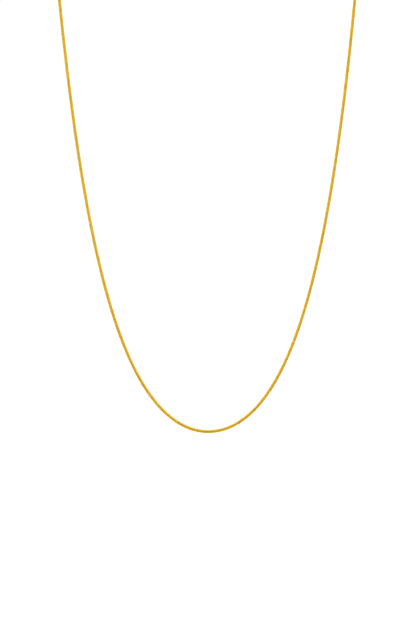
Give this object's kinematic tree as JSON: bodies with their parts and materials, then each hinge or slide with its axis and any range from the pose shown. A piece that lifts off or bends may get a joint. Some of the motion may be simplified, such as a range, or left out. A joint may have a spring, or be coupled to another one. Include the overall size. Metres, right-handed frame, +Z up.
{
  "type": "snake chain necklace",
  "caption": "Fine round snake chain worn as a necklace: a closed loop that hangs in a free curve in front, goes round the neck and closes in a plain barrel clasp.",
  "frame": {"origin": "the underside of the clasp at the middle of the nape, where the necklace rests on the neck that holds it up", "axes": "+Z up; the hanging front faces -Y; +X along the clasp, to the right when the front is looked at from -Y"},
  "size_m": [0.1042, 0.0986, 0.1719],
  "materials": {
    "chain_gold": "polished yellow gold plate on fine interlocked links",
    "clasp_gold": "satin yellow gold plate with fine turning lines"
  },
  "bodies": {
    "root": {"chain": "chain_gold", "clasp": "clasp_gold"}
  },
  "joints": []
}
